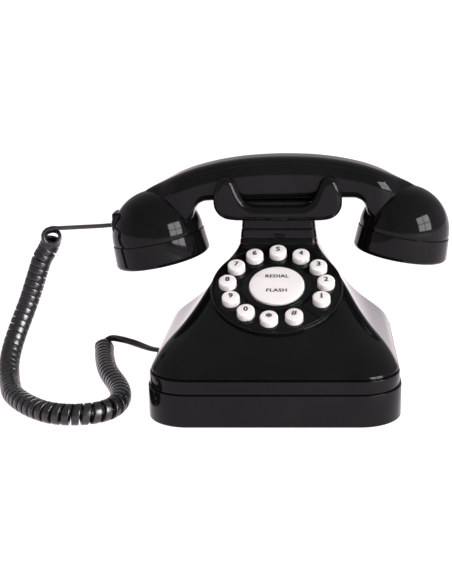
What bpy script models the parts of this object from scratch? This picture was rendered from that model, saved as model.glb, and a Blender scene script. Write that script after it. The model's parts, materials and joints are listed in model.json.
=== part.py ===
"""French-style cradle telephone with a ring of push buttons, built as separate pieces.

Frame: metres, +Z up, +X to the right of a person in front of the phone, +Y to the back.
The origin is on the table, under the middle of the base.
"""
import math

import bmesh
import bpy
from mathutils import Matrix, Vector

MM = 0.001
GAP = 0.3 * MM                    # clearance between pieces that touch

# Base
BASE_WIDTH = 160 * MM
BASE_DEPTH = 156 * MM
FRONT_Y = -BASE_DEPTH / 2
BASE_CORNER = 27 * MM
TRAY_BOTTOM = 0.5 * MM
FOOT_TOP = 1.6 * MM               # the feet sit in shallow recesses
TRAY_TOP = 21.2 * MM
FLOOR_TOP = TRAY_BOTTOM + 2.5 * MM
WALL = 2.6 * MM
FOOT_AT = (63 * MM, 61 * MM)
FRONT_POST = (60 * MM, -50 * MM)
BACK_POST = (52 * MM, 55 * MM)

# Upper shell
SKIRT_BOTTOM = TRAY_TOP + GAP
SKIRT_TOP = 30.0 * MM
SKIRT_INSET = 1.2 * MM
GROOVE_TOP = 30.8 * MM
GROOVE_INSET = 2.2 * MM
NECK_TOP = 110.9 * MM
# Stations of the shell, bottom to top: height, half width at the front, half width at the
# back, depth of the front and of the back behind the base's front edge, and the radii of the
# front and back corners, all in millimetres
SHELL_STATIONS = (
    (30.8, 78.0, 78.0, 2.0, 154.0, 26.0, 24.0),
    (32.2, 78.0, 78.0, 2.0, 154.0, 26.0, 24.0),
    (33.4, 77.3, 77.2, 3.6, 153.4, 26.0, 24.0),
    (38.0, 74.6, 74.3, 9.5, 151.5, 25.0, 22.0),
    (44.0, 70.2, 66.5, 18.5, 149.5, 22.0, 20.0),
    (51.0, 63.0, 56.6, 30.5, 148.0, 19.0, 18.0),
    (60.0, 54.9, 47.0, 47.5, 146.5, 16.0, 15.0),
    (70.0, 47.5, 39.3, 66.5, 145.0, 13.0, 12.0),
    (80.0, 39.2, 31.8, 86.0, 143.7, 10.0, 9.0),
    (87.0, 31.0, 28.0, 98.0, 143.0, 7.0, 7.0),
    (93.0, 26.8, 26.6, 104.0, 142.4, 5.0, 5.0),
    (98.0, 26.2, 26.0, 105.0, 142.0, 4.0, 4.0),
    (110.9, 24.8, 24.8, 105.0, 142.0, 4.0, 4.0),
)

# Dial: a round drum on the front slope, with its own tilted axes
DIAL_CENTRE = Vector((0, FRONT_Y + 68 * MM, 71.3 * MM))
DIAL_TILT = math.radians(28)      # of the face from the horizontal, falling to the front
DRUM_RADIUS = 43.4 * MM
DRUM_INNER = 41.7 * MM
DRUM_TOP = 1.8 * MM
DRUM_DEPTH = 10 * MM
PLATE_BOTTOM = -1.0 * MM
CENTRE_HOLE = 18.9 * MM
KEY_CIRCLE = 32.4 * MM
KEY_RADIUS = 6.0 * MM
KEY_HOLE = 6.35 * MM
KEY_TOP = 6.6 * MM
KEY_STEP = math.radians(28.8)
KEYS_CLOCKWISE = ("5", "4", "3", "2", "1")
KEYS_COUNTER = ("6", "7", "8", "9", "0", "star", "hash")
BUTTON_RADIUS = 18.3 * MM
BUTTON_TOP = 4.4 * MM
PIVOT_Z = -3.15 * MM              # the centre button rocks about an axis level with its flange
PIVOT_RADIUS = 0.8 * MM
RING_RADIUS = 23.2 * MM

# Cradle and hook plunger
CRADLE_BOTTOM = NECK_TOP + GAP
SADDLE_TOP = 120.9 * MM
REST_TOP = 123.7 * MM             # of the pad between the prongs, which the handle lies on
SADDLE_HALF = 25 * MM
REST_HALF = (24.4 * MM, 19 * MM)
PRONG_THICK = 7.6 * MM
HANDSET_Y = FRONT_Y + 121 * MM
PRONG_INNER_Y = 20.3 * MM         # from the handset's middle plane to a prong's inner face
PLUNGER_HALF = (10 * MM, 5 * MM)
STEM_RADIUS = 3 * MM

# Handset
CUP_X = 85.6 * MM
CUP_Z = 98.6 * MM
CUP_TILT = math.radians(10.5)
DOME_RADIUS = 31.7 * MM
CAP_HEIGHT = 17.2 * MM
CAP_RADIUS = 33.0 * MM
HANDSET_WALL = 2.6 * MM
PARTING = 16.2 * MM               # front cover's back face, ahead of the middle plane
GRILLE_RADIUS = 15.5 * MM
# Stations of half of the handle, which narrows into the cups: distance from the middle, top,
# underside and half depth, in millimetres
HANDLE_STATIONS = (
    (0.0, 152.8, 124.2, 19.2),
    (20.0, 152.1, 124.2, 19.2),
    (38.0, 150.0, 124.2, 19.2),
    (50.0, 147.6, 124.0, 19.2),
    (54.5, 146.5, 122.6, 19.2),
    (57.5, 145.7, 119.6, 19.2),
    (59.5, 145.1, 113.0, 19.2),
    (66.0, 142.8, 106.0, 19.2),
    (71.0, 140.8, 104.3, 18.2),
    (76.0, 138.5, 104.0, 15.9),
    (80.0, 136.4, 104.0, 13.5),
    (86.0, 133.7, 104.0, 9.4),
    (91.0, 131.1, 105.0, 5.6),
    (96.5, 128.0, 108.0, 1.8),
)
HANDLE_END = 96.5 * MM
HOLLOW_END = 84 * MM
# The handset doesn't lie quite square in its cradle
HANDSET_REST = (Matrix.Translation((1.0 * MM, HANDSET_Y, 124 * MM))
                @ Matrix.Rotation(math.radians(1.2), 4, "Z")
                @ Matrix.Rotation(math.radians(-1.0), 4, "Y")
                @ Matrix.Translation((0, -HANDSET_Y, -124 * MM)))

# Handset cord, in millimetres
COIL_RADIUS = 6.75
CORD_RADIUS = 2.3
LEAD_HANDSET = ((-115.4, 36.1, 105), (-123.5, 35.3, 104.4), (-137, 34.2, 103.6), (-149.3, 33.5, 102.4))
COIL_ROUTE = (
    (-156.8, 33.8, 96.0), (-160, 33.8, 90), (-164.5, 33, 81), (-168.5, 30.5, 69), (-173, 27, 55),
    (-176.6, 23, 45), (-180, 17.5, 35), (-182.4, 10.5, 25.5), (-182.7, 1, 17), (-180, -11, 10.6),
    (-176, -23, 7.9), (-171, -35, 7), (-161, -49.5, 7), (-151, -60, 7), (-141, -67.5, 7),
    (-131.5, -71, 7), (-122, -71.5, 7), (-112, -69, 7), (-104.5, -63, 7), (-100.8, -54, 7),
    (-100.3, -42, 7), (-103, -27.5, 7), (-108, -13, 7), (-113.5, 0, 7), (-119, 15, 7),
    (-124, 33, 7), (-128, 51, 7), (-130.5, 65, 7),
)
LEAD_BASE = (
    (-130.5, 68.2, 8.5), (-129.5, 69.6, 11.2), (-125.5, 69.4, 13.2), (-118.5, 66, 13.4),
    (-112, 62.5, 12.9), (-105.5, 58.5, 12.1), (-99, 54, 11.3), (-92.5, 49.5, 10.9),
    (-84.7, 46.6, 10.9),
)
JACK_BASE = Vector((-BASE_WIDTH / 2, 46 * MM, 11 * MM))
LINE_JACK = Vector((-30 * MM, BASE_DEPTH / 2, 11 * MM))
SOCKET_HALF = (6.2 * MM, 5.4 * MM)

FINISHES = {
    "gloss_black": ((0.008, 0.008, 0.009), 0.08, 0.0),
    "white_plastic": ((0.85, 0.82, 0.80), 0.35, 0.0),
    "black_rubber": ((0.02, 0.02, 0.02), 0.7, 0.0),
    "grey_rubber": ((0.35, 0.35, 0.36), 0.6, 0.0),
    "steel": ((0.55, 0.55, 0.56), 0.35, 1.0),
    "circuit_board": ((0.03, 0.16, 0.06), 0.45, 0.0),
    "black_plastic": ((0.02, 0.02, 0.022), 0.4, 0.0),
    "cord_black": ((0.012, 0.012, 0.013), 0.25, 0.0),
}


# ---------------------------------------------------------------- helpers

def clear_scene():
    for obj in list(bpy.data.objects):
        bpy.data.objects.remove(obj, do_unlink=True)


def finish_material(name):
    found = bpy.data.materials.get(name)
    if found:
        return found
    colour, roughness, metallic = FINISHES[name]
    made = bpy.data.materials.new(name)
    made.use_nodes = True
    shader = made.node_tree.nodes["Principled BSDF"]
    shader.inputs["Base Color"].default_value = (*colour, 1)
    shader.inputs["Roughness"].default_value = roughness
    shader.inputs["Metallic"].default_value = metallic
    return made


def new_piece(name, bm, finish, matrix=None):
    """Link a bmesh as one named object, with its faces turned outwards."""
    bmesh.ops.recalc_face_normals(bm, faces=bm.faces)
    mesh = bpy.data.meshes.new(name)
    bm.to_mesh(mesh)
    bm.free()
    mesh.shade_smooth()
    mesh.set_sharp_from_angle(angle=math.radians(35))
    obj = bpy.data.objects.new(name, mesh)
    bpy.context.scene.collection.objects.link(obj)
    obj.data.materials.append(finish_material(finish))
    if matrix is not None:
        obj.matrix_world = matrix
    return obj


def skin_rings(rings, close=False):
    """Quads between rings of points; the end rings are capped unless the rings close up."""
    bm = bmesh.new()
    made = [[bm.verts.new(point) for point in ring] for ring in rings]
    pairs = list(zip(made, made[1:]))
    if close:
        pairs.append((made[-1], made[0]))
    for lower, upper in pairs:
        count = len(lower)
        for i in range(count):
            j = (i + 1) % count
            bm.faces.new((lower[i], lower[j], upper[j], upper[i]))
    if not close:
        bm.faces.new(list(reversed(made[0])))
        bm.faces.new(made[-1])
    return bm


def circle(radius, z, segments, centre=(0, 0)):
    step = 2 * math.pi / segments
    return [(centre[0] + radius * math.cos(i * step), centre[1] + radius * math.sin(i * step), z)
            for i in range(segments)]


def turned(profile, segments):
    """A solid of revolution about Z from (radius, height) pairs, bottom to top."""
    return skin_rings([circle(radius, z, segments) for radius, z in profile])


def tube_solid(outer, inner, bottom, top, segments):
    rings = [circle(outer, bottom, segments), circle(outer, top, segments),
             circle(inner, top, segments), circle(inner, bottom, segments)]
    return skin_rings(rings, close=True)


def box_between(low, high):
    bm = bmesh.new()
    bmesh.ops.create_cube(bm, size=1)
    for vert in bm.verts:
        vert.co = [low[k] + (vert.co[k] + 0.5) * (high[k] - low[k]) for k in range(3)]
    return bm


def extruded(outline, low, high, axis):
    """A prism of an outline given in the two other axes, between two values along axis."""
    def place(point, depth):
        values = list(point)
        values.insert(axis, depth)
        return tuple(values)
    return skin_rings([[place(p, low) for p in outline], [place(p, high) for p in outline]])


def boolean(target, cutter, operation):
    """Apply one exact Boolean to target's mesh and remove the cutter."""
    modifier = target.modifiers.new("cut", "BOOLEAN")
    modifier.operation = operation
    modifier.solver = "EXACT"
    modifier.object = cutter
    bpy.context.view_layer.update()
    graph = bpy.context.evaluated_depsgraph_get()
    result = bpy.data.meshes.new_from_object(target.evaluated_get(graph))
    target.modifiers.clear()
    old = target.data
    target.data = result
    result.name = old.name
    bpy.data.meshes.remove(old)
    bpy.data.objects.remove(cutter, do_unlink=True)
    return target


def cut(target, bm, matrix=None):
    return boolean(target, new_piece("cutter", bm, "gloss_black", matrix), "DIFFERENCE")


def join(target, bm, matrix=None):
    return boolean(target, new_piece("addition", bm, "gloss_black", matrix), "UNION")


def keep_inside(target, bm):
    return boolean(target, new_piece("keeper", bm, "gloss_black"), "INTERSECT")


def fillet(before, corner, after, radius, steps):
    """Points of the arc that rounds one corner of a 2D outline."""
    corner = Vector(corner)
    towards = (Vector(before) - corner).normalized()
    away = (Vector(after) - corner).normalized()
    half = towards.angle(away) / 2
    centre = corner + (towards + away).normalized() * (radius / math.sin(half))
    start = corner + towards * (radius / math.tan(half)) - centre
    end = corner + away * (radius / math.tan(half)) - centre
    sweep = start.angle_signed(end)
    return [centre + Matrix.Rotation(-sweep * i / steps, 2) @ start for i in range(steps + 1)]


def hermite(stations, value, column):
    """Smooth interpolation of one column of a table of stations, without overshoot."""
    keys = [row[0] for row in stations]
    value = min(max(value, keys[0]), keys[-1])
    k = 0
    while k < len(keys) - 2 and value > keys[k + 1]:
        k += 1

    def slope(i):
        if i in (0, len(keys) - 1):
            return 0.0
        before = (stations[i][column] - stations[i - 1][column]) / (keys[i] - keys[i - 1])
        after = (stations[i + 1][column] - stations[i][column]) / (keys[i + 1] - keys[i])
        return 0.0 if before * after <= 0 else 2 * before * after / (before + after)

    span = keys[k + 1] - keys[k]
    t = (value - keys[k]) / span
    low, high = stations[k][column], stations[k + 1][column]
    return ((1 + 2 * t) * (1 - t) ** 2 * low + t * (1 - t) ** 2 * span * slope(k)
            + t * t * (3 - 2 * t) * high + t * t * (t - 1) * span * slope(k + 1))


def smooth_route(points, count):
    """Evenly counted points on a Catmull-Rom curve through the route's points."""
    points = [Vector(p) for p in points]
    ends = [2 * points[0] - points[1]] + points + [2 * points[-1] - points[-2]]
    result = []
    for i in range(count):
        s = i / (count - 1) * (len(points) - 1)
        k = min(int(s), len(points) - 2)
        t = s - k
        a, b, c, d = ends[k:k + 4]
        result.append(0.5 * (2 * b + (c - a) * t + (2 * a - 5 * b + 4 * c - d) * t ** 2
                             + (3 * b - a - 3 * c + d) * t ** 3))
    return result


# ---------------------------------------------------------------- base

def plan_outline(front_half, back_half, front, back, front_radius, back_radius):
    """A rounded four-sided plan, symmetric in X, with its long sides subdivided.

    The outline starts at the front left corner, and the splits are those of the front, right,
    back and left sides.
    """
    corners = [(-front_half, front), (front_half, front), (back_half, back), (-back_half, back)]
    radii = [front_radius, front_radius, back_radius, back_radius]
    arcs = []
    for i in range(4):
        arcs.append(fillet(corners[i - 1], corners[i], corners[(i + 1) % 4], radii[i], 5))
    outline = []
    for arc, following, splits in zip(arcs, arcs[1:] + arcs[:1], (6, 3, 4, 3)):
        outline += arc
        for i in range(1, splits):
            outline.append(arc[-1].lerp(following[0], i / splits))
    return outline


def shell_outline(height, inset=0.0):
    values = [hermite(SHELL_STATIONS, height / MM, column) * MM for column in range(1, 7)]
    front_half, back_half, front, back, front_radius, back_radius = values
    return plan_outline(front_half - inset, back_half - inset, FRONT_Y + front + inset,
                        FRONT_Y + back - inset, max(front_radius - inset, 1.2 * MM),
                        max(back_radius - inset, 1.2 * MM))


def base_outline(inset=0.0):
    half = BASE_WIDTH / 2 - inset
    corner = BASE_CORNER - inset
    return plan_outline(half, half, FRONT_Y + inset, -FRONT_Y - inset, corner, corner - 2 * MM)


def at_height(outline, z):
    return [(point[0], point[1], z) for point in outline]


def post_places():
    return [(side * place[0], place[1]) for place in (FRONT_POST, BACK_POST) for side in (-1, 1)]


def foot_places():
    return [(side * FOOT_AT[0], end * FOOT_AT[1]) for end in (-1, 1) for side in (-1, 1)]


def make_tray():
    rings = [at_height(base_outline(0.8 * MM), TRAY_BOTTOM),
             at_height(base_outline(), TRAY_BOTTOM + 0.8 * MM),
             at_height(base_outline(), TRAY_TOP),
             at_height(base_outline(WALL), TRAY_TOP),
             at_height(base_outline(WALL), FLOOR_TOP)]
    tray = new_piece("base_tray", skin_rings(rings), "gloss_black")
    for x, y in post_places():
        spot = Matrix.Translation((x, y, 0))
        join(tray, turned(((4.5 * MM, FLOOR_TOP - 1 * MM), (4.5 * MM, 30 * MM)), 12), spot)
        cut(tray, turned(((3.6 * MM, 0), (3.6 * MM, 8 * MM)), 12), spot)
        cut(tray, turned(((1.9 * MM, 0), (1.9 * MM, 31 * MM)), 10), spot)
    for x, y in foot_places():
        cut(tray, turned(((6.3 * MM, 0), (6.3 * MM, FOOT_TOP + GAP)), 20),
            Matrix.Translation((x, y, 0)))
    half_width, half_height = SOCKET_HALF
    side = JACK_BASE
    cut(tray, box_between((side.x - 5 * MM, side.y - half_width - GAP, side.z - half_height - GAP),
                          (side.x + 5 * MM, side.y + half_width + GAP, side.z + half_height + GAP)))
    back = LINE_JACK
    cut(tray, box_between((back.x - half_width - GAP, back.y - 5 * MM, back.z - half_height - GAP),
                          (back.x + half_width + GAP, back.y + 5 * MM, back.z + half_height + GAP)))


def make_feet_and_screws():
    names = ("front_left", "front_right", "back_left", "back_right")
    for name, (x, y) in zip(names, foot_places()):
        foot = turned(((5.4 * MM, 0), (6 * MM, 0.5 * MM), (6 * MM, FOOT_TOP)), 20)
        new_piece("foot_" + name, foot, "black_rubber", Matrix.Translation((x, y, 0)))
    for name, (x, y) in zip(names, post_places()):
        screw = turned(((3 * MM, 5.2 * MM), (3.2 * MM, 7.6 * MM), (1.5 * MM, 7.7 * MM),
                        (1.5 * MM, 34 * MM)), 12)
        new_piece("base_screw_" + name, screw, "steel", Matrix.Translation((x, y, 0)))


def dial_matrix():
    return Matrix.Translation(DIAL_CENTRE) @ Matrix.Rotation(DIAL_TILT, 4, "X")


def make_upper_shell():
    heights = [station[0] * MM for station in SHELL_STATIONS]
    skirt = SKIRT_INSET
    rings = [at_height(base_outline(skirt), SKIRT_BOTTOM),
             at_height(base_outline(skirt), SKIRT_TOP),
             at_height(base_outline(GROOVE_INSET), SKIRT_TOP),
             at_height(base_outline(GROOVE_INSET), GROOVE_TOP)]
    rings += [at_height(shell_outline(z), z) for z in heights]
    middle = Vector((0, HANDSET_Y))
    small = [middle + (point - middle).normalized() * (STEM_RADIUS + 0.6 * MM)
             for point in shell_outline(NECK_TOP)]
    rings += [at_height(small, NECK_TOP), at_height(small, NECK_TOP - WALL)]
    rings += [at_height(shell_outline(z, WALL), z - WALL) for z in reversed(heights[3:])]
    rings += [at_height(base_outline(skirt + WALL), SKIRT_TOP - 1 * MM),
              at_height(base_outline(skirt + WALL), SKIRT_BOTTOM)]
    shell = new_piece("upper_shell", skin_rings(rings, close=True), "gloss_black")
    drum = turned(((DRUM_RADIUS, -DRUM_DEPTH), (DRUM_RADIUS, DRUM_TOP - 1 * MM),
                   (DRUM_RADIUS - 1 * MM, DRUM_TOP)), 48)
    join(shell, drum, dial_matrix())
    cut(shell, turned(((DRUM_INNER, -DRUM_DEPTH - 6 * MM), (DRUM_INNER, DRUM_TOP + 3 * MM)), 48),
        dial_matrix())
    tops = (45.8 * MM, 45.8 * MM, 48.6 * MM, 48.6 * MM)
    for (x, y), top in zip(post_places(), tops):
        spot = Matrix.Translation((x, y, 0))
        join(shell, turned(((4.5 * MM, 30 * MM + GAP), (4.5 * MM, top)), 12), spot)
        cut(shell, turned(((1.9 * MM, 29 * MM), (1.9 * MM, 36 * MM)), 10), spot)


def make_electronics():
    board = box_between((-34 * MM, -46 * MM, 9 * MM), (44 * MM, 20 * MM, 10.6 * MM))
    new_piece("main_board", board, "circuit_board")
    ringer = turned(((15 * MM, FLOOR_TOP + GAP), (15 * MM, 9.5 * MM), (6 * MM, 11 * MM)), 24)
    new_piece("ringer", ringer, "black_plastic", Matrix.Translation((-52 * MM, -10 * MM, 0)))
    plate = box_between((-10 * MM, 30 * MM, FLOOR_TOP + GAP), (60 * MM, 42 * MM, 9 * MM))
    new_piece("base_weight", plate, "steel")
    switch = box_between((-9 * MM, HANDSET_Y - 5 * MM, 78 * MM), (9 * MM, HANDSET_Y + 5 * MM, 87 * MM))
    new_piece("hook_switch", switch, "black_plastic")


def socket_body(name, depth, open_side_matrix):
    """A modular socket: a block with a rectangular mouth on its +Z side."""
    half_width, half_height = SOCKET_HALF
    body = new_piece(name, box_between((-half_width, -half_height, -depth),
                                       (half_width, half_height, 0)), "black_plastic")
    cut(body, box_between((-5 * MM, -4.2 * MM, -depth + 2 * MM), (5 * MM, 4.2 * MM, 1 * MM)))
    body.matrix_world = open_side_matrix
    return body


def make_sockets_and_plugs():
    facing_left = Matrix.Translation(JACK_BASE + Vector((0.3 * MM, 0, 0)))
    facing_left = facing_left @ Matrix.Rotation(math.radians(-90), 4, "Y")
    facing_left = facing_left @ Matrix.Rotation(math.radians(90), 4, "Z")
    socket_body("cord_socket", 14 * MM, facing_left)
    facing_back = Matrix.Translation(LINE_JACK - Vector((0, 0.3 * MM, 0)))
    facing_back = facing_back @ Matrix.Rotation(math.radians(-90), 4, "X")
    socket_body("line_socket", 14 * MM, facing_back)
    side = JACK_BASE
    plug = box_between((side.x - 4 * MM, side.y - 3.9 * MM, side.z - 3.1 * MM),
                       (side.x + 10 * MM, side.y + 3.9 * MM, side.z + 3.1 * MM))
    new_piece("cord_plug_base", plug, "black_plastic")


# ---------------------------------------------------------------- dial

def dial_piece(name, bm, finish, x=0.0, y=0.0):
    return new_piece(name, bm, finish, dial_matrix() @ Matrix.Translation((x, y, 0)))


def key_places():
    places = []
    for k, name in enumerate(KEYS_CLOCKWISE):
        angle = math.radians(90) - KEY_STEP * k
        places.append((name, KEY_CIRCLE * math.cos(angle), KEY_CIRCLE * math.sin(angle)))
    for k, name in enumerate(KEYS_COUNTER):
        angle = math.radians(90) + KEY_STEP * (k + 1)
        places.append((name, KEY_CIRCLE * math.cos(angle), KEY_CIRCLE * math.sin(angle)))
    return places


def pivot_rod(radius, half_length):
    """A round bar along X, centred on the origin."""
    rod = turned(((radius, -half_length), (radius, half_length)), 12)
    bmesh.ops.rotate(rod, verts=rod.verts, matrix=Matrix.Rotation(math.radians(90), 3, "Y"))
    return rod


def make_dial_plate():
    plate = new_piece("dial_plate", turned(((DRUM_INNER - GAP, PLATE_BOTTOM),
                                            (DRUM_INNER - GAP, DRUM_TOP)), 48), "gloss_black")
    cut(plate, turned(((CENTRE_HOLE, -3 * MM), (CENTRE_HOLE, 4 * MM)), 32))
    for _, x, y in key_places():
        cut(plate, turned(((KEY_HOLE, -3 * MM), (KEY_HOLE, 4 * MM)), 16),
            Matrix.Translation((x, y, 0)))
    # Two lugs under the plate hold the centre button's pivot pins
    for side in (-1, 1):
        ends = sorted((side * 20.9 * MM, side * 22.2 * MM))
        join(plate, box_between((ends[0], -1.9 * MM, PIVOT_Z - 1.5 * MM),
                                (ends[1], 1.9 * MM, PLATE_BOTTOM + 0.5 * MM)))
    cut(plate, pivot_rod(PIVOT_RADIUS + GAP, 24 * MM), Matrix.Translation((0, 0, PIVOT_Z)))
    plate.matrix_world = dial_matrix()


def make_centre_button():
    profile = ((20 * MM, -3.7 * MM), (20 * MM, -2.6 * MM), (BUTTON_RADIUS, -2.5 * MM),
               (BUTTON_RADIUS, BUTTON_TOP - 0.9 * MM), (BUTTON_RADIUS - 1 * MM, BUTTON_TOP))
    above_pivot = [(radius, z - PIVOT_Z) for radius, z in profile]
    pivot = dial_matrix() @ Matrix.Translation((0, 0, PIVOT_Z))
    button = new_piece("redial_flash_button", turned(above_pivot, 32), "white_plastic", pivot)
    join(button, pivot_rod(PIVOT_RADIUS, 22.6 * MM), pivot)


def make_dial():
    make_dial_plate()
    make_centre_button()
    ring = tube_solid(RING_RADIUS, CENTRE_HOLE, DRUM_TOP + GAP, DRUM_TOP + 1.1 * MM, 36)
    dial_piece("dial_centre_ring", ring, "gloss_black")
    for name, x, y in key_places():
        key = turned(((7.2 * MM, -2.8 * MM), (7.2 * MM, -1.4 * MM), (KEY_RADIUS, -1.3 * MM),
                      (KEY_RADIUS, KEY_TOP - 1.1 * MM), (KEY_RADIUS - 0.4 * MM, KEY_TOP - 0.3 * MM),
                      (KEY_RADIUS - 1.4 * MM, KEY_TOP)), 16)
        dial_piece("key_" + name, key, "white_plastic", x, y)
    mat = turned(((40.5 * MM, -7.3 * MM), (40.5 * MM, -5.3 * MM)), 32)
    dial_piece("keypad_mat", mat, "grey_rubber")
    board = turned(((40.5 * MM, -9.2 * MM), (40.5 * MM, -7.6 * MM)), 32)
    dial_piece("keypad_board", board, "circuit_board")


# ---------------------------------------------------------------- cradle

def prong_outline():
    """Half of the fork seen from the front, from the saddle out to the middle of the bottom."""
    half = [(0, 120.9), (14, 120.9), (18.5, 121.7), (22, 123.8), (24.6, 127.2), (26.8, 131.8),
            (28.6, 136.2), (31.2, 139.4), (35, 140.6), (38.6, 139.2), (41.2, 135.4), (42.8, 130),
            (43.3, 124.5), (42.6, 119.6), (40, 115.4), (35.8, 112.6), (30, 111.5), (22, 111.3),
            (0, 111.3)]
    right = [(x * MM, z * MM) for x, z in half]
    left = [(-x, z) for x, z in reversed(right[1:-1])]
    return right + left


def make_cradle():
    lower = CRADLE_BOTTOM
    cradle = new_piece("cradle", box_between((-SADDLE_HALF, HANDSET_Y - 24 * MM, lower),
                                             (SADDLE_HALF, HANDSET_Y + 24 * MM, SADDLE_TOP)),
                       "gloss_black")
    for side in (-1, 1):
        near = HANDSET_Y + side * PRONG_INNER_Y
        far = near + side * PRONG_THICK
        join(cradle, extruded(prong_outline(), min(near, far), max(near, far), 1))
    across, along = REST_HALF
    join(cradle, box_between((-across, HANDSET_Y - along, SADDLE_TOP - 2 * MM),
                             (across, HANDSET_Y + along, REST_TOP)))
    x, y = PLUNGER_HALF
    cut(cradle, box_between((-x - 0.4 * MM, HANDSET_Y - y - 0.4 * MM, lower - 1 * MM),
                            (x + 0.4 * MM, HANDSET_Y + y + 0.4 * MM, REST_TOP + 5 * MM)))
    bar = new_piece("hook_plunger", box_between((-x, HANDSET_Y - y, 115 * MM),
                                                (x, HANDSET_Y + y, REST_TOP)), "gloss_black")
    join(bar, turned(((STEM_RADIUS, 88 * MM), (STEM_RADIUS, 116 * MM)), 12),
         Matrix.Translation((0, HANDSET_Y, 0)))


# ---------------------------------------------------------------- handset

def handle_section(x, inset):
    """Rounded section of the handle in Y and Z at one distance from the middle."""
    away = abs(x) / MM
    top = hermite(HANDLE_STATIONS, away, 1) * MM - inset
    under = hermite(HANDLE_STATIONS, away, 2) * MM + inset
    half = hermite(HANDLE_STATIONS, away, 3) * MM - inset
    corners = [(-half, under), (half, under), (half, top), (-half, top)]
    lower = min(7 * MM - inset / 2, 0.96 * half)
    upper = min(12 * MM - inset, 0.96 * half)
    radii = [lower, lower, upper, upper]
    ring = []
    for i in range(4):
        steps = 2 if i < 2 else 4
        ring += fillet(corners[i - 1], corners[i], corners[(i + 1) % 4], radii[i], steps)
    return [(x, HANDSET_Y + point.x, point.y) for point in ring]


def handle_solid(inset, reach):
    places = [station[0] * MM for station in HANDLE_STATIONS if station[0] * MM <= reach]
    if places[-1] < reach:
        places.append(reach)
    places = [-place for place in reversed(places[1:])] + places
    return skin_rings([handle_section(x, inset) for x in places])


def cup_matrix(side):
    place = Matrix.Translation((side * CUP_X, HANDSET_Y, CUP_Z))
    return place @ Matrix.Rotation(side * CUP_TILT, 4, "Y")


def cup_profile(inset):
    seam = DOME_RADIUS - inset
    cap = CAP_RADIUS - inset
    bottom = -CAP_HEIGHT + inset
    profile = [(cap - 3.4 * MM, bottom), (cap - 1.0 * MM, bottom + 0.9 * MM),
               (cap, bottom + 3.2 * MM)]
    if inset == 0:
        profile += [(seam + 0.3 * MM, -0.5 * MM), (seam - 0.5 * MM, -0.5 * MM),
                    (seam - 0.5 * MM, 0.1 * MM)]
    for i in range(7):
        angle = math.radians(88) * i / 6
        profile.append((seam * math.cos(angle), 0.1 * MM + seam * math.sin(angle)))
    return profile


def jack_block():
    low = (-115.2 * MM, HANDSET_Y - 12.5 * MM, 102.5 * MM)
    high = (-100 * MM, HANDSET_Y + 3.5 * MM, 116.5 * MM)
    return box_between(low, high)


def handset_screw_matrix(side):
    """A screw's place on the back of the handle, with +Z pointing out of the surface."""
    spot = Matrix.Translation((side * 62 * MM, HANDSET_Y + 18.4 * MM, 124 * MM))
    return spot @ Matrix.Rotation(math.radians(-90), 4, "X")


def make_handset():
    body = new_piece("handset_back_shell", handle_solid(0, HANDLE_END), "gloss_black")
    for side in (-1, 1):
        join(body, turned(cup_profile(0), 40), cup_matrix(side))
    join(body, jack_block())
    hollow = new_piece("handset_hollow", handle_solid(HANDSET_WALL, HOLLOW_END), "gloss_black")
    for side in (-1, 1):
        join(hollow, turned(cup_profile(HANDSET_WALL), 32), cup_matrix(side))
    boolean(body, hollow, "DIFFERENCE")
    for side in (-1, 1):
        cut(body, turned(((GRILLE_RADIUS + GAP, -CAP_HEIGHT - 3 * MM),
                          (GRILLE_RADIUS + GAP, -CAP_HEIGHT + 5 * MM)), 28), cup_matrix(side))
        spot = handset_screw_matrix(side)
        cut(body, turned(((3.3 * MM, -1.3 * MM), (3.3 * MM, 4 * MM)), 14), spot)
        cut(body, turned(((1.8 * MM, -5 * MM), (1.8 * MM, 1 * MM)), 10), spot)
    socket_low = (-117 * MM, HANDSET_Y - 8.4 * MM, 103.7 * MM)
    socket_high = (-104 * MM, HANDSET_Y - 0.6 * MM, 110.9 * MM)
    cut(body, box_between(socket_low, socket_high))
    front = body.copy()
    front.data = body.data.copy()
    front.name = "handset_front_shell"
    front.data.name = "handset_front_shell"
    bpy.context.scene.collection.objects.link(front)
    far = 200 * MM
    plane = HANDSET_Y - PARTING
    keep_inside(front, box_between((-far, -far, 0), (far, plane - GAP / 2, far)))
    keep_inside(body, box_between((-far, plane + GAP / 2, 0), (far, far, far)))
    for side, name in ((-1, "handset_screw_left"), (1, "handset_screw_right")):
        spot = handset_screw_matrix(side)
        join(front, turned(((3.6 * MM, -36 * MM), (3.6 * MM, -4.4 * MM)), 14), spot)
        cut(front, turned(((1.8 * MM, -18 * MM), (1.8 * MM, 1 * MM)), 10), spot)
        screw = turned(((1.5 * MM, -16 * MM), (1.5 * MM, -1.1 * MM), (3 * MM, -1 * MM),
                        (2.6 * MM, 0)), 12)
        new_piece(name, screw, "steel", HANDSET_REST @ spot)
    front.matrix_world = HANDSET_REST
    body.matrix_world = HANDSET_REST


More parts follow.
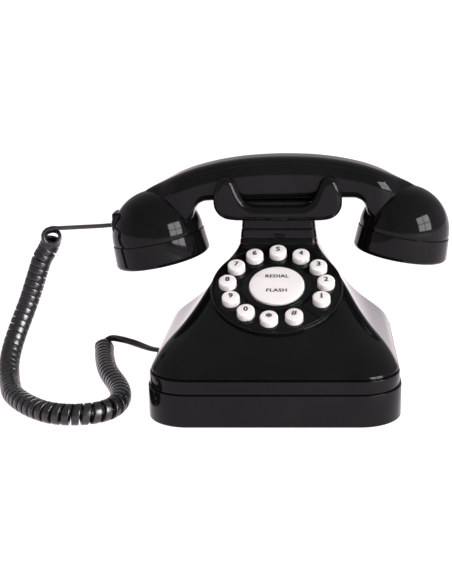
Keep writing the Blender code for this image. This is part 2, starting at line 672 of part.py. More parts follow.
def make_handset_contents():
    for side, name in ((-1, "mouthpiece_grille"), (1, "earpiece_grille")):
        grille = turned(((GRILLE_RADIUS, -CAP_HEIGHT), (GRILLE_RADIUS, -CAP_HEIGHT + 1.8 * MM)), 28)
        new_piece(name, grille, "black_plastic", HANDSET_REST @ cup_matrix(side))
    capsule = turned(((17 * MM, -12.4 * MM), (17 * MM, -5 * MM), (11 * MM, -3 * MM)), 24)
    new_piece("receiver_capsule", capsule, "black_plastic", HANDSET_REST @ cup_matrix(1))
    microphone = turned(((5 * MM, -12.4 * MM), (5 * MM, -6 * MM)), 16)
    new_piece("microphone", microphone, "steel", HANDSET_REST @ cup_matrix(-1))
    bar = box_between((-22 * MM, HANDSET_Y - 9 * MM, 128 * MM), (22 * MM, HANDSET_Y + 9 * MM, 133 * MM))
    new_piece("handset_weight", bar, "steel", HANDSET_REST)
    plug = box_between((-116.2 * MM, HANDSET_Y - 8.0 * MM, 104.1 * MM),
                       (-106 * MM, HANDSET_Y - 1.0 * MM, 110.5 * MM))
    new_piece("cord_plug_handset", plug, "black_plastic", HANDSET_REST)


# ---------------------------------------------------------------- cord

def tube(name, points, radius, resolution):
    """A tube along a polyline, as a bevelled curve with filled caps."""
    data = bpy.data.curves.new(name, "CURVE")
    data.dimensions = "3D"
    data.bevel_depth = radius * MM
    data.bevel_resolution = resolution
    data.use_fill_caps = True
    spline = data.splines.new("POLY")
    spline.points.add(len(points) - 1)
    for target, point in zip(spline.points, points):
        target.co = (*(Vector(point) * MM), 1)
    obj = bpy.data.objects.new(name, data)
    bpy.context.scene.collection.objects.link(obj)
    data.materials.append(finish_material("cord_black"))
    return obj


def make_cord():
    tube("cord_lead_handset", smooth_route(LEAD_HANDSET, 6), CORD_RADIUS, 2)
    tube("cord_coil", smooth_route(COIL_ROUTE, 44), COIL_RADIUS, 2)
    tube("cord_lead_base", smooth_route(LEAD_BASE, 9), CORD_RADIUS, 2)


def main():
    clear_scene()
    make_tray()
    make_feet_and_screws()
    make_upper_shell()
    make_electronics()
    make_sockets_and_plugs()
    make_dial()
    make_cradle()
    make_handset()
    make_handset_contents()
    make_cord()


main()
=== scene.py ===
"""Looks of the cradle telephone: finer shells, dial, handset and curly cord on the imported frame."""
import json
import math

import bmesh
import bpy
import numpy as np
from mathutils import Matrix, Vector


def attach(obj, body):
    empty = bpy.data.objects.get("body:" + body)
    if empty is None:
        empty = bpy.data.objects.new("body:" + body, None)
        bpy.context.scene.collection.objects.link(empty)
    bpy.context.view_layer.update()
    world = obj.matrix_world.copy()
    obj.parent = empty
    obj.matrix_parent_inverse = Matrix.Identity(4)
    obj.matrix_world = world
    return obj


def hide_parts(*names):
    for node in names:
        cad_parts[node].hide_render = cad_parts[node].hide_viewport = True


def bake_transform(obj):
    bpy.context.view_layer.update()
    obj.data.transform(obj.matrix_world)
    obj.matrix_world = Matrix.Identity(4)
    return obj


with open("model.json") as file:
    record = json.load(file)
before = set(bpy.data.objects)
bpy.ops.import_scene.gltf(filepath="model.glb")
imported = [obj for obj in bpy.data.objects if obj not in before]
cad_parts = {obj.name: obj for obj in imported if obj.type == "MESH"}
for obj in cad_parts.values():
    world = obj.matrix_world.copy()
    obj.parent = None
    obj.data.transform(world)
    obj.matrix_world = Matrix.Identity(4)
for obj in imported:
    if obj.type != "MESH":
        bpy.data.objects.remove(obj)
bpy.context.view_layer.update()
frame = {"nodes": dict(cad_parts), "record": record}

MM = 0.001
GAP = 0.3 * MM

# Driving sizes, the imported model's; keys and centre button are a few tenths of a millimetre smaller
FRONT_Y = -78 * MM
BASE_HALF = 80 * MM
BASE_CORNER = 27 * MM
FOOT_TOP = 1.6 * MM
FOOT_AT = (63 * MM, 61 * MM)
FRONT_POST = (60 * MM, -50 * MM)
BACK_POST = (52 * MM, 55 * MM)
CORD_SOCKET = Vector((-80 * MM, 46 * MM, 11 * MM))
LINE_SOCKET = Vector((-30 * MM, 78 * MM, 11 * MM))
SOCKET_HALF = (6.2 * MM, 5.4 * MM)
TRAY_BOTTOM = 0.5 * MM
TRAY_TOP = 21.2 * MM
SKIRT_BOTTOM = 21.5 * MM
SKIRT_TOP = 30.0 * MM
GROOVE_TOP = 30.8 * MM
NECK_TOP = 110.9 * MM
SHELL_STATIONS = (
    (30.8, 78.0, 78.0, 2.0, 154.0, 26.0, 24.0),
    (32.2, 78.0, 78.0, 2.0, 154.0, 26.0, 24.0),
    (33.4, 77.3, 77.2, 3.6, 153.4, 26.0, 24.0),
    (38.0, 74.6, 74.3, 9.5, 151.5, 25.0, 22.0),
    (44.0, 70.2, 66.5, 18.5, 149.5, 22.0, 20.0),
    (51.0, 63.0, 56.6, 30.5, 148.0, 19.0, 18.0),
    (60.0, 54.9, 47.0, 47.5, 146.5, 16.0, 15.0),
    (70.0, 47.5, 39.3, 66.5, 145.0, 13.0, 12.0),
    (80.0, 39.2, 31.8, 86.0, 143.7, 10.0, 9.0),
    (87.0, 31.0, 28.0, 98.0, 143.0, 7.0, 7.0),
    (93.0, 26.8, 26.6, 104.0, 142.4, 5.0, 5.0),
    (98.0, 26.2, 26.0, 105.0, 142.0, 4.0, 4.0),
    (110.9, 24.8, 24.8, 105.0, 142.0, 4.0, 4.0),
)
DIAL_CENTRE = Vector((0, FRONT_Y + 68 * MM, 71.3 * MM))
DIAL_TILT = math.radians(28)
DIAL = Matrix.Translation(DIAL_CENTRE) @ Matrix.Rotation(DIAL_TILT, 4, "X")
DRUM_RADIUS = 43.4 * MM
DRUM_INNER = 41.7 * MM
DRUM_TOP = 1.8 * MM
CENTRE_HOLE = 18.9 * MM
KEY_CIRCLE = 32.4 * MM
KEY_RADIUS = 5.75 * MM
KEY_HOLE = 6.15 * MM
KEY_TOP = 6.3 * MM
KEY_STEP = math.radians(28.8)
BUTTON_RADIUS = 18.1 * MM
BUTTON_TOP = 4.0 * MM
RING_RADIUS = 23.2 * MM
STOP_ANGLE = math.radians(-46.8)
HANDSET_Y = FRONT_Y + 121 * MM
CRADLE_BOTTOM = NECK_TOP + GAP
SADDLE_TOP = 120.9 * MM
REST_TOP = 123.7 * MM
PRONG_INNER_Y = 20.3 * MM
PRONG_THICK = 7.6 * MM
REST_HALF = 24.4 * MM
CUP_X = 85.6 * MM
CUP_Z = 98.6 * MM
CUP_TILT = math.radians(10.5)
DOME_RADIUS = 31.7 * MM
CAP_HEIGHT = 17.2 * MM
CAP_RADIUS = 33.0 * MM
HANDSET_WALL = 2.6 * MM
PARTING = 16.2 * MM
GRILLE_RADIUS = 15.5 * MM
# Distance from the middle, top, underside and half depth, in millimetres
HANDLE_STATIONS = (
    (0.0, 152.8, 124.2, 19.2),
    (20.0, 152.1, 124.2, 19.2),
    (38.0, 150.0, 124.2, 19.2),
    (50.0, 147.6, 124.0, 19.2),
    (54.5, 146.5, 122.6, 19.2),
    (57.5, 145.7, 119.6, 19.2),
    (59.5, 145.1, 113.0, 19.2),
    (66.0, 142.8, 106.0, 19.2),
    (71.0, 140.8, 104.3, 18.2),
    (76.0, 138.5, 104.0, 15.9),
    (80.0, 136.4, 104.0, 13.5),
    (86.0, 133.7, 104.0, 9.4),
    (91.0, 131.1, 105.0, 5.6),
    (96.5, 128.0, 108.0, 1.8),
)
HANDLE_END = 96.5
HOLLOW_END = 84
HANDSET_REST = (Matrix.Translation((1.0 * MM, HANDSET_Y, 124 * MM))
                @ Matrix.Rotation(math.radians(1.2), 4, "Z")
                @ Matrix.Rotation(math.radians(-1.0), 4, "Y")
                @ Matrix.Translation((0, -HANDSET_Y, -124 * MM)))

# The handset cord's route, in millimetres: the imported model's, with the first turn bent to the front
LEAD_HANDSET = (
    (-115.4, 36.1, 105), (-123.5, 35.3, 104.5), (-137, 33.0, 104.2), (-148.6, 30.2, 104.1),
)
COIL_ROUTE = (
    (-155.8, 28.6, 98.4), (-156.7, 33.2, 96.6), (-158.6, 35.2, 92), (-161.4, 34.6, 86.5),
    (-164.5, 33, 81), (-168.5, 30.5, 69), (-173, 27, 55), (-176.6, 23, 45),
    (-180, 17.5, 35), (-182.4, 10.5, 25.5), (-182.7, 1, 17), (-180, -11, 10.6),
    (-176, -23, 7.9), (-171, -35, 7), (-161, -49.5, 7), (-151, -60, 7),
    (-141, -67.5, 7), (-131.5, -71, 7), (-122, -71.5, 7), (-112, -69, 7),
    (-104.5, -63, 7), (-100.8, -54, 7), (-100.3, -42, 7), (-103, -27.5, 7),
    (-108, -13, 7), (-113.5, 0, 7), (-119, 15, 7), (-124, 33, 7),
    (-128, 51, 7), (-130.5, 65, 7),
)
LEAD_BASE = (
    (-130.5, 68.2, 8.5), (-129.5, 69.6, 11.2), (-125.5, 69.4, 13.2), (-118.5, 66, 13.4),
    (-112, 62.5, 12.9), (-105.5, 58.5, 12.1), (-99, 54, 11.3), (-92.5, 49.5, 10.9),
    (-84.7, 46.6, 10.9),
)
CORD_WIDTH = 4.5 * MM
CORD_EDGE = 0.55 * MM
CORD_THICK = 2.4 * MM
HELIX_RADIUS = 5.6 * MM
CAP_SHARE = 0.73  # capital height of the built-in font, as a share of its size
TURNS = 64.5
TURN_POINTS = 18
START_PHASE = math.radians(-95)


# ---------------------------------------------------------------- mesh helpers

def new_piece(name, bm, material, matrix=None, sharp=32):
    """Link a bmesh as one named, smooth-shaded object."""
    bmesh.ops.recalc_face_normals(bm, faces=bm.faces)
    mesh = bpy.data.meshes.new(name)
    bm.to_mesh(mesh)
    bm.free()
    obj = bpy.data.objects.new(name, mesh)
    bpy.context.scene.collection.objects.link(obj)
    if matrix is not None:
        mesh.transform(matrix)
    smooth(obj, sharp)
    if material is not None:
        mesh.materials.append(material)
    return obj


def smooth(obj, sharp):
    obj.data.shade_smooth()
    obj.data.set_sharp_from_angle(angle=math.radians(sharp))


def skin_rings(rings, close=False):
    """Quads between rings of points; the end rings are capped unless the rings close up."""
    bm = bmesh.new()
    made = [[bm.verts.new(point) for point in ring] for ring in rings]
    pairs = list(zip(made, made[1:]))
    if close:
        pairs.append((made[-1], made[0]))
    for lower, upper in pairs:
        count = len(lower)
        for i in range(count):
            j = (i + 1) % count
            bm.faces.new((lower[i], lower[j], upper[j], upper[i]))
    if not close:
        bm.faces.new(list(reversed(made[0])))
        bm.faces.new(made[-1])
    return bm


def circle(radius, z, segments):
    step = 2 * math.pi / segments
    return [(radius * math.cos(i * step), radius * math.sin(i * step), z) for i in range(segments)]


def turned(profile, segments, close=False):
    """A solid of revolution about Z from (radius, height) pairs."""
    return skin_rings([circle(radius, z, segments) for radius, z in profile], close)


def box_between(low, high):
    bm = bmesh.new()
    bmesh.ops.create_cube(bm, size=1)
    for vert in bm.verts:
        vert.co = [low[k] + (vert.co[k] + 0.5) * (high[k] - low[k]) for k in range(3)]
    return bm


def rounded_box(low, high, radius, segments=4):
    bm = box_between(low, high)
    bmesh.ops.bevel(bm, geom=list(bm.edges), offset=radius, segments=segments, profile=0.5,
                    affect="EDGES")
    return bm


def boolean(target, cutter, operation):
    """Apply one exact Boolean to target's mesh and remove the cutter."""
    modifier = target.modifiers.new("cut", "BOOLEAN")
    modifier.operation = operation
    modifier.solver = "EXACT"
    modifier.object = cutter
    bpy.context.view_layer.update()
    graph = bpy.context.evaluated_depsgraph_get()
    result = bpy.data.meshes.new_from_object(target.evaluated_get(graph))
    target.modifiers.clear()
    old = target.data
    target.data = result
    bpy.data.meshes.remove(old)
    bpy.data.objects.remove(cutter, do_unlink=True)
    return target


def cut(target, bm, matrix=None):
    return boolean(target, new_piece("cutter", bm, None, matrix), "DIFFERENCE")


def join(target, bm, matrix=None):
    return boolean(target, new_piece("addition", bm, None, matrix), "UNION")


def keep_inside(target, bm):
    return boolean(target, new_piece("keeper", bm, None), "INTERSECT")


def merge(name, pieces):
    """Several objects' meshes as one object, without changing them."""
    bm = bmesh.new()
    materials = []
    for piece in pieces:
        if piece.data.materials[0] not in materials:
            materials.append(piece.data.materials[0])
        start = len(bm.faces)
        bm.from_mesh(piece.data)
        bm.faces.ensure_lookup_table()
        for face in bm.faces[start:]:
            face.material_index = materials.index(piece.data.materials[0])
        bpy.data.objects.remove(piece, do_unlink=True)
    mesh = bpy.data.meshes.new(name)
    bm.to_mesh(mesh)
    bm.free()
    for material in materials:
        mesh.materials.append(material)
    obj = bpy.data.objects.new(name, mesh)
    bpy.context.scene.collection.objects.link(obj)
    smooth(obj, 32)
    return obj


def fillet(before, corner, after, radius, steps):
    """Points of the arc that rounds one corner of a 2D outline."""
    corner = Vector(corner)
    towards = (Vector(before) - corner).normalized()
    away = (Vector(after) - corner).normalized()
    half = towards.angle(away) / 2
    centre = corner + (towards + away).normalized() * (radius / math.sin(half))
    start = corner + towards * (radius / math.tan(half)) - centre
    end = corner + away * (radius / math.tan(half)) - centre
    sweep = start.angle_signed(end)
    return [centre + Matrix.Rotation(-sweep * i / steps, 2) @ start for i in range(steps + 1)]


def hermite(stations, value, column):
    """Smooth interpolation of one column of a table of stations, without overshoot."""
    keys = [row[0] for row in stations]
    value = min(max(value, keys[0]), keys[-1])
    k = 0
    while k < len(keys) - 2 and value > keys[k + 1]:
        k += 1

    def slope(i):
        if i in (0, len(keys) - 1):
            return 0.0
        before = (stations[i][column] - stations[i - 1][column]) / (keys[i] - keys[i - 1])
        after = (stations[i + 1][column] - stations[i][column]) / (keys[i + 1] - keys[i])
        return 0.0 if before * after <= 0 else 2 * before * after / (before + after)

    span = keys[k + 1] - keys[k]
    t = (value - keys[k]) / span
    low, high = stations[k][column], stations[k + 1][column]
    return ((1 + 2 * t) * (1 - t) ** 2 * low + t * (1 - t) ** 2 * span * slope(k)
            + t * t * (3 - 2 * t) * high + t * t * (t - 1) * span * slope(k + 1))


def faired(stations, value, column, reach):
    """The interpolated column averaged over a window that closes towards the table's ends."""
    low, high = stations[0][0], stations[-1][0]
    half = max(min(reach, value - low, high - value), 0.0)
    total, weights = 0.0, 0.0
    for i in range(-6, 7):
        weight = 1 - abs(i) / 7
        total += weight * hermite(stations, value + half * i / 6, column)
        weights += weight
    return total / weights


def catmull(points, count):
    """Evenly counted points on a Catmull-Rom curve through the route's points."""
    points = [Vector(p) for p in points]
    ends = [2 * points[0] - points[1]] + points + [2 * points[-1] - points[-2]]
    result = []
    for i in range(count):
        s = i / (count - 1) * (len(points) - 1)
        k = min(int(s), len(points) - 2)
        t = s - k
        a, b, c, d = ends[k:k + 4]
        result.append(0.5 * (2 * b + (c - a) * t + (2 * a - 5 * b + 4 * c - d) * t ** 2
                             + (3 * b - a - 3 * c + d) * t ** 3))
    return result


def smoothstep(low, high, value):
    t = min(max((value - low) / (high - low), 0.0), 1.0)
    return t * t * (3 - 2 * t)


# ---------------------------------------------------------------- materials

def material(name, colour, roughness, metallic=0.0, specular=0.5):
    made = bpy.data.materials.new(name)
    made.use_nodes = True
    shader = made.node_tree.nodes["Principled BSDF"]
    shader.inputs["Base Color"].default_value = (*colour, 1)
    shader.inputs["Roughness"].default_value = roughness
    shader.inputs["Metallic"].default_value = metallic
    shader.inputs["Specular IOR Level"].default_value = specular
    return made, shader


def add_noise(made, scale, detail=2.0):
    """A noise texture in the object's own space."""
    tree = made.node_tree
    coordinates = tree.nodes.new("ShaderNodeTexCoord")
    noise = tree.nodes.new("ShaderNodeTexNoise")
    noise.inputs["Scale"].default_value = scale
    noise.inputs["Detail"].default_value = detail
    tree.links.new(coordinates.outputs["Object"], noise.inputs["Vector"])
    return noise


def vary_roughness(made, shader, scale, low, high):
    noise = add_noise(made, scale)
    spread = made.node_tree.nodes.new("ShaderNodeMapRange")
    spread.inputs["To Min"].default_value = low
    spread.inputs["To Max"].default_value = high
    made.node_tree.links.new(noise.outputs["Fac"], spread.inputs["Value"])
    made.node_tree.links.new(spread.outputs["Result"], shader.inputs["Roughness"])


def vary_colour(made, shader, scale, first, second):
    noise = add_noise(made, scale, 3.0)
    ramp = made.node_tree.nodes.new("ShaderNodeValToRGB")
    ramp.color_ramp.elements[0].position = 0.35
    ramp.color_ramp.elements[0].color = (*first, 1)
    ramp.color_ramp.elements[1].position = 0.65
    ramp.color_ramp.elements[1].color = (*second, 1)
    made.node_tree.links.new(noise.outputs["Fac"], ramp.inputs["Fac"])
    made.node_tree.links.new(ramp.outputs["Color"], shader.inputs["Base Color"])


def add_bump(made, shader, scale, distance, strength, detail=2.0):
    noise = add_noise(made, scale, detail)
    bump = made.node_tree.nodes.new("ShaderNodeBump")
    bump.inputs["Distance"].default_value = distance
    bump.inputs["Strength"].default_value = strength
    made.node_tree.links.new(noise.outputs["Fac"], bump.inputs["Height"])
    made.node_tree.links.new(bump.outputs["Normal"], shader.inputs["Normal"])


def gloss_black():
    """Polished black moulding: faint waviness and handling haze."""
    made, shader = material("gloss_black_abs", (0.004, 0.004, 0.0045), 0.05, specular=0.15)
    vary_roughness(made, shader, 60, 0.035, 0.075)
    vary_colour(made, shader, 25, (0.0035, 0.0035, 0.0038), (0.005, 0.005, 0.0052))
    add_bump(made, shader, 45, 0.00025, 0.03, 1.0)
    return made


def satin_black(name="satin_black"):
    made, shader = material(name, (0.014, 0.014, 0.015), 0.38)
    vary_roughness(made, shader, 300, 0.32, 0.46)
    add_bump(made, shader, 2500, 0.00005, 0.25)
    return made


def white_plastic():
    made, shader = material("white_keys", (0.83, 0.79, 0.775), 0.3)
    shader.inputs["Subsurface Weight"].default_value = 0.12
    shader.inputs["Subsurface Radius"].default_value = (0.9, 0.6, 0.45)
    shader.inputs["Subsurface Scale"].default_value = 0.002
    vary_roughness(made, shader, 400, 0.25, 0.36)
    vary_colour(made, shader, 90, (0.82, 0.775, 0.76), (0.85, 0.81, 0.795))
    return made


def print_ink():
    made, shader = material("print_ink", (0.012, 0.012, 0.014), 0.45)
    vary_roughness(made, shader, 900, 0.38, 0.55)
    return made


def cord_pvc():
    made, shader = material("cord_pvc", (0.011, 0.011, 0.012), 0.22)
    vary_roughness(made, shader, 500, 0.16, 0.30)
    vary_colour(made, shader, 150, (0.010, 0.010, 0.011), (0.016, 0.015, 0.016))
    add_bump(made, shader, 1800, 0.00006, 0.15)
    return made


def rubber(name, colour):
    made, shader = material(name, colour, 0.75)
    vary_roughness(made, shader, 500, 0.65, 0.85)
    add_bump(made, shader, 3000, 0.0001, 0.3)
    return made


def steel():
    made, shader = material("zinc_steel", (0.56, 0.56, 0.58), 0.35, metallic=1.0)
    vary_roughness(made, shader, 700, 0.26, 0.45)
    add_bump(made, shader, 1500, 0.00004, 0.3)
    return made


def circuit_board():
    made, shader = material("solder_mask", (0.02, 0.13, 0.05), 0.4)
    vary_colour(made, shader, 350, (0.015, 0.10, 0.04), (0.03, 0.16, 0.06))
    vary_roughness(made, shader, 500, 0.3, 0.5)
    return made


BLACK = gloss_black()
SATIN = satin_black()
WHITE = white_plastic()
INK = print_ink()
CORD = cord_pvc()
FOOT_RUBBER = rubber("foot_rubber", (0.02, 0.02, 0.02))
MAT_RUBBER = rubber("mat_rubber", (0.3, 0.3, 0.31))
STEEL = steel()
BOARD = circuit_board()
CAD_FINISHES = {
    "gloss_black": BLACK, "white_plastic": WHITE, "black_rubber": FOOT_RUBBER,
    "grey_rubber": MAT_RUBBER, "steel": STEEL, "circuit_board": BOARD, "black_plastic": SATIN,
    "cord_black": CORD,
}


def finish_cad_nodes():
    """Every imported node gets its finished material, by its slot in the record."""
    for part in frame["record"]["subparts"]:
        node = frame["nodes"][part["node"]]
        node.data.materials.clear()
        node.data.materials.append(CAD_FINISHES[part["material_slot"]])


# ---------------------------------------------------------------- camera, light and floor

def make_camera():
    data = bpy.data.cameras.new("camera")
    camera = bpy.data.objects.new("camera", data)
    bpy.context.scene.collection.objects.link(camera)
    camera.location = (0.028, -0.713, 0.253)
    camera.rotation_euler = (math.radians(75.35), 0, 0)
    data.sensor_width = 36
    data.lens = 68.05
    data.shift_x = -0.160
    bpy.context.scene.camera = camera


def area_light(name, place, target, size, power, colour=(1, 1, 1)):
    data = bpy.data.lights.new(name, "AREA")
    data.shape = "RECTANGLE"
    data.size, data.size_y = size
    data.energy = power
    data.color = colour
    light = bpy.data.objects.new(name, data)
    bpy.context.scene.collection.objects.link(light)
    light.location = place
    light.rotation_euler = (Vector(target) - Vector(place)).to_track_quat("-Z", "Y").to_euler()
    return light


def spread(tree, source, low, high, start, end):
    """A smooth step of one value from start to end."""
    node = tree.nodes.new("ShaderNodeMapRange")
    node.interpolation_type = "SMOOTHSTEP"
    for name, value in (("From Min", low), ("From Max", high), ("To Min", start), ("To Max", end)):
        node.inputs[name].default_value = value
    tree.links.new(source, node.inputs["Value"])
    return node.outputs["Result"]


def combine(tree, operation, first, second=None):
    node = tree.nodes.new("ShaderNodeMath")
    node.operation = operation
    tree.links.new(first, node.inputs[0])
    if second is not None:
        tree.links.new(second, node.inputs[1])
    return node.outputs["Value"]


def make_world():
    """A dim ceiling, front and back, with brighter, faintly lilac sides and horizon."""
    world = bpy.data.worlds.new("studio")
    bpy.context.scene.world = world
    world.use_nodes = True
    tree = world.node_tree
    direction = tree.nodes.new("ShaderNodeTexCoord")
    split = tree.nodes.new("ShaderNodeSeparateXYZ")
    tree.links.new(direction.outputs["Generated"], split.inputs["Vector"])
    x, y, z = (split.outputs[name] for name in "XYZ")
    horizon = combine(tree, "MULTIPLY", spread(tree, z, 0.0, 0.2, 1, 0),
                      spread(tree, y, -0.55, 0.05, 0, 1))
    sides = combine(tree, "MULTIPLY", spread(tree, combine(tree, "ABSOLUTE", x), 0.6, 0.92, 0, 0.8),
                    spread(tree, z, 0.55, 0.85, 1, 0))
    bright = combine(tree, "MAXIMUM", horizon, sides)
    level = combine(tree, "MAXIMUM", spread(tree, bright, 0.0, 1.0, 0.36, 0.6),
                    spread(tree, z, 0.012, 0.04, 1.3, 0))
    mix = tree.nodes.new("ShaderNodeMix")
    mix.data_type = "RGBA"
    mix.inputs["A"].default_value = (1, 1, 1, 1)
    mix.inputs["B"].default_value = (1.0, 0.82, 0.93, 1)
    tree.links.new(bright, mix.inputs["Factor"])
    background = tree.nodes["Background"]
    tree.links.new(mix.outputs["Result"], background.inputs["Color"])
    tree.links.new(level, background.inputs["Strength"])


def make_window():
    """A tall paned window at the front right, in two rows of two soft panes."""
    azimuth, elevation, distance = math.radians(54), math.radians(20), 2.4
    towards = Vector((math.sin(azimuth) * math.cos(elevation),
                      -math.cos(azimuth) * math.cos(elevation), math.sin(elevation)))
    middle = towards * distance + Vector((0, 0, 0.1))
    right = Vector((math.cos(azimuth), math.sin(azimuth), 0))
    up = right.cross(towards) * -1
    for column in (-1, 1):
        for row in (-1, 1):
            place = middle + right * column * 0.38 + up * row * 0.36
            area_light(f"pane_{column}_{row}", place, place - towards, (0.70, 0.66), 20)
            gloss = area_light(f"pane_gloss_{column}_{row}", place, place - towards, (0.70, 0.66), 105)
            gloss.visible_diffuse = False


def make_stage():
    make_world()
    make_window()
    bm = bmesh.new()
    bmesh.ops.create_grid(bm, x_segments=2, y_segments=2, size=60)
    made, shader = material("pale_floor", (0.25, 0.25, 0.25), 0.9, specular=0.1)
    shader.inputs["Emission Color"].default_value = (1.0, 0.90, 0.96, 1)
    shader.inputs["Emission Strength"].default_value = 1.08
    vary_roughness(made, shader, 3, 0.85, 0.95)
    floor = new_piece("floor", bm, made)
    bpy.context.scene.view_settings.view_transform = "Standard"


# ---------------------------------------------------------------- cord

def frames_along(points):
    """Tangent and a side vector that doesn't twist, for each point of a path."""
    tangents = []
    for i in range(len(points)):
        tangents.append((points[min(i + 1, len(points) - 1)] - points[max(i - 1, 0)]).normalized())
    side = tangents[0].cross(Vector((0, 0, 1))).normalized()
    sides = []
    for tangent in tangents:
        side = (side - tangent * side.dot(tangent)).normalized()
        sides.append(side)
    return tangents, sides


def turn_density(share):
    """Turns per unit of the coil's length, relative: touching down the side, then ever more open."""
    return (1.0 - 0.14 * smoothstep(0.36, 0.44, share) - 0.08 * smoothstep(0.58, 0.66, share)
            - 0.12 * smoothstep(0.91, 0.95, share))


def cord_path():
    """Centre points of the flat cord and the direction of its width at each."""
    lead_in = catmull([Vector(p) * MM for p in LEAD_HANDSET], 24)
    lead_out = catmull([Vector(p) * MM for p in LEAD_BASE], 36)
    count = round(TURNS * TURN_POINTS)
    axis = catmull([Vector(p) * MM for p in COIL_ROUTE], count)
    axis = even_spacing(axis, count)
    tangents, sides = frames_along(axis)
    weights = np.cumsum([turn_density(i / count) for i in range(count)])
    phases = -2 * math.pi * TURNS * (weights - weights[0]) / (weights[-1] - weights[0])
    helix, widths = [], []
    for point, tangent, side, phase in zip(axis, tangents, sides, phases):
        other = tangent.cross(side)
        radial = side * math.cos(phase + START_PHASE) + other * math.sin(phase + START_PHASE)
        helix.append(point + radial * HELIX_RADIUS)
        widths.append(tangent)
    return lead_in, helix, widths, lead_out


def even_spacing(points, count):
    array = np.array([tuple(p) for p in points])
    steps = np.linalg.norm(np.diff(array, axis=0), axis=1)
    along = np.concatenate([[0], np.cumsum(steps)])
    wanted = np.linspace(0, along[-1], count)
    columns = [np.interp(wanted, along, array[:, k]) for k in range(3)]
    return [Vector(p) for p in zip(*columns)]


def bridge(start, start_direction, end, end_direction, pull, count):
    """Points of a cubic curve between two ends with given directions."""
    a, b = start, start + start_direction * pull
    c, d = end - end_direction * pull, end
    result = []
    for i in range(1, count):
        t = i / count
        result.append(a * (1 - t) ** 3 + b * 3 * t * (1 - t) ** 2
                      + c * 3 * t * t * (1 - t) + d * t ** 3)
    return result


def ribbon_section():
    """Flat section with rounded corners: pairs of width and thickness offsets."""
    points = []
    half, thick = CORD_WIDTH / 2 - CORD_EDGE, CORD_THICK / 2 - CORD_EDGE
    for corner, (u, v) in enumerate(((half, -thick), (half, thick), (-half, thick), (-half, -thick))):
        for i in range(4):
            angle = math.radians(90) * (corner - 1 + i / 3)
            points.append((u + CORD_EDGE * math.cos(angle), v + CORD_EDGE * math.sin(angle)))
    return points


def make_cord():
    lead_in, helix, coil_widths, lead_out = cord_path()
    flat = Vector((0, 1, 0))
    start_direction = (lead_in[-1] - lead_in[-2]).normalized()
    first_direction = (helix[1] - helix[0]).normalized()
    entry = bridge(lead_in[-1], start_direction, helix[0], first_direction, 4 * MM, 10)
    last_direction = (helix[-1] - helix[-2]).normalized()
    exit_direction = (lead_out[1] - lead_out[0]).normalized()
    leave = bridge(helix[-1], last_direction, lead_out[0], exit_direction, 8 * MM, 14)
    points = lead_in + entry + helix + leave + lead_out
    widths = [flat] * len(lead_in)
    for i in range(len(entry)):
        widths.append(flat.lerp(coil_widths[0], (i + 1) / (len(entry) + 1)))
    widths += coil_widths
    for i in range(len(leave)):
        widths.append(coil_widths[-1].lerp(Vector((0, 0, 1)), (i + 1) / (len(leave) + 1)))
    for i in range(len(lead_out)):
        widths.append(Vector((0, 0, 1)).lerp(flat, smoothstep(0.2, 0.9, i / len(lead_out))))
    rings = []
    for i, (point, width) in enumerate(zip(points, widths)):
        tangent = (points[min(i + 1, len(points) - 1)] - points[max(i - 1, 0)]).normalized()
        across = (width - tangent * width.dot(tangent)).normalized()
        thick = tangent.cross(across)
        rings.append([point + across * u + thick * v for u, v in ribbon_section()])
    cord = new_piece("curly_cord", skin_rings(rings), CORD)
    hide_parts("cord_coil", "cord_lead_handset", "cord_lead_base")
    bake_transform(cord)


# ---------------------------------------------------------------- base and upper shell

CORNER_STEPS = 16
SIDE_SPLITS = (72, 36, 40, 36)


def plan_outline(front_half, back_half, front, back, front_radius, back_radius):
    """A rounded four-sided plan, symmetric in X, with its long sides subdivided."""
    corners = [(-front_half, front), (front_half, front), (back_half, back), (-back_half, back)]
    radii = [front_radius, front_radius, back_radius, back_radius]
    arcs = []
    for i in range(4):
        arcs.append(fillet(corners[i - 1], corners[i], corners[(i + 1) % 4], radii[i], CORNER_STEPS))
    outline = []
    for arc, following, splits in zip(arcs, arcs[1:] + arcs[:1], SIDE_SPLITS):
        outline += arc
        for i in range(1, splits):
            outline.append(arc[-1].lerp(following[0], i / splits))
    return outline


def shell_outline(height, inset=0.0):
    values = [faired(SHELL_STATIONS, height / MM, column, 3.5) * MM for column in range(1, 7)]
    front_half, back_half, front, back, front_radius, back_radius = values
    return plan_outline(front_half - inset, back_half - inset, FRONT_Y + front + inset,
                        FRONT_Y + back - inset, max(front_radius - inset, 1.2 * MM),
                        max(back_radius - inset, 1.2 * MM))


def base_outline(inset=0.0):
    half = BASE_HALF - inset
    corner = BASE_CORNER - inset
    return plan_outline(half, half, FRONT_Y + inset, -FRONT_Y - inset, corner, corner - 2 * MM)


def at_height(outline, z):
    return [(point[0], point[1], z) for point in outline]


def rounded_wall(bottom, top, inset, bottom_round, top_round):
    """Rings of an upright wall of the base with a rounded lower and upper edge."""
    rings = []
    for i in range(5):
        angle = math.radians(90) * i / 4
        rings.append(at_height(base_outline(inset + bottom_round * (1 - math.sin(angle))),
                               bottom + bottom_round * (1 - math.cos(angle))))
    for i in range(5):
        angle = math.radians(90) * i / 4
        rings.append(at_height(base_outline(inset + top_round * (1 - math.cos(angle))),
                               top - top_round * (1 - math.sin(angle))))
    return rings


